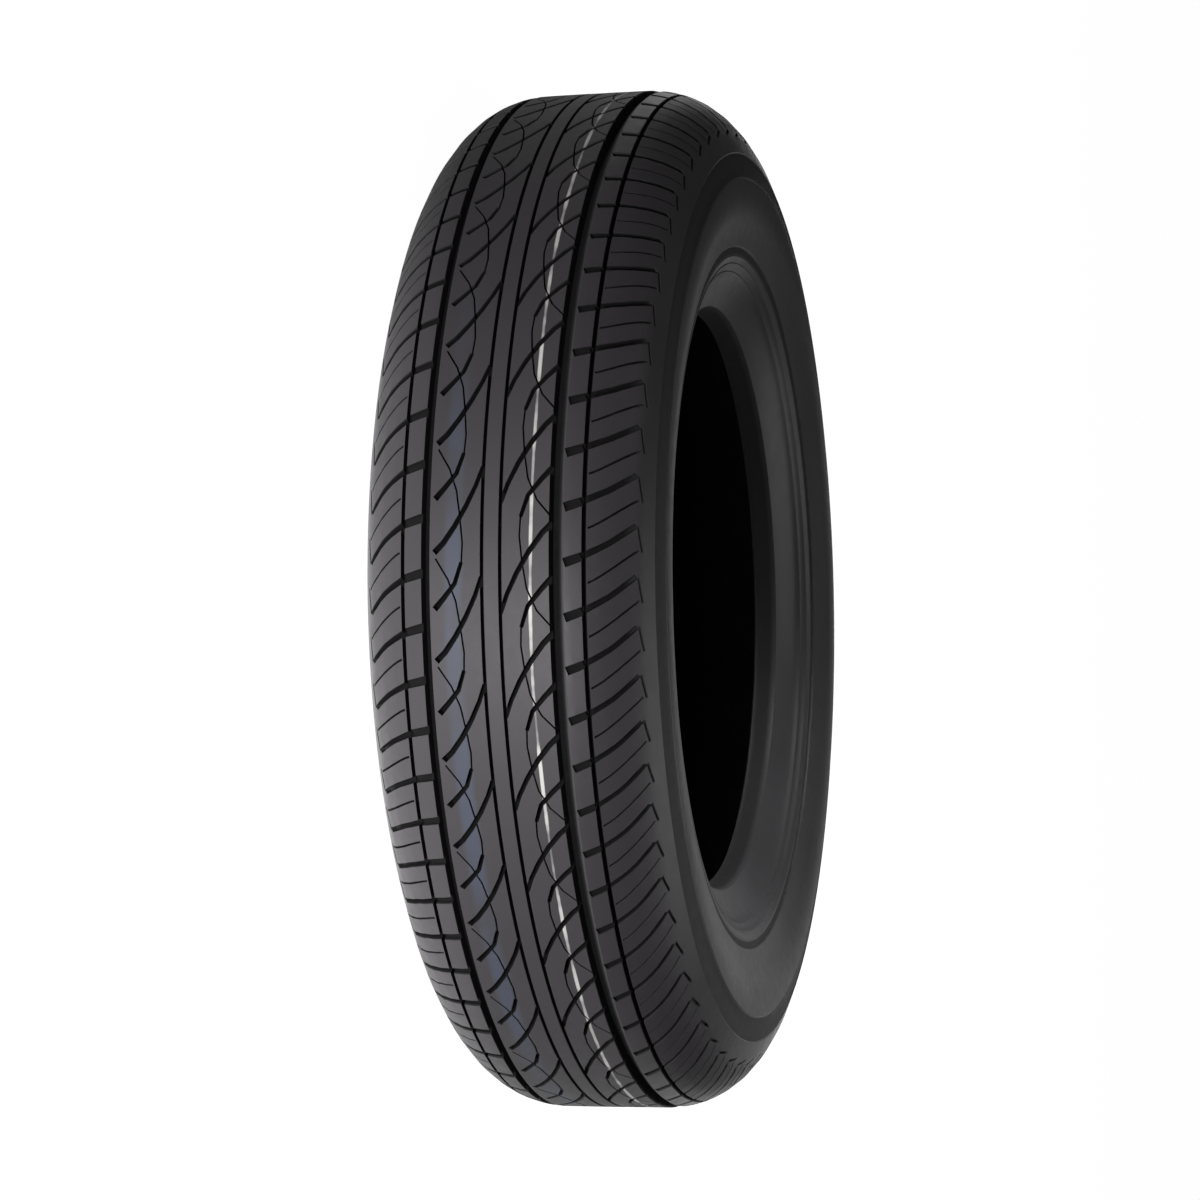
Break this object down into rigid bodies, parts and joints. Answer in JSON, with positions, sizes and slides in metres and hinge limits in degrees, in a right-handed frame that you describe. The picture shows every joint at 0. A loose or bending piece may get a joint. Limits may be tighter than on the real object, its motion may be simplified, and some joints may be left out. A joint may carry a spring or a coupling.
{
  "type": "car tyre",
  "caption": "Narrow radial tyre for a small passenger car, with long curved tread grooves, fine sipes, cross-grooved shoulders and smooth sidewalls, open inside, lying on its sidewall.",
  "frame": {"origin": "middle of the tyre, on the spin axis and half way between the sidewalls", "axes": "+Z along the spin axis, towards the sidewall that the picture shows; +X and +Y across the tread"},
  "size_m": [0.578, 0.578, 0.158],
  "materials": {
    "tyre": "satin black moulded rubber"
  },
  "bodies": {
    "root": {"tyre": "tyre"}
  },
  "joints": []
}
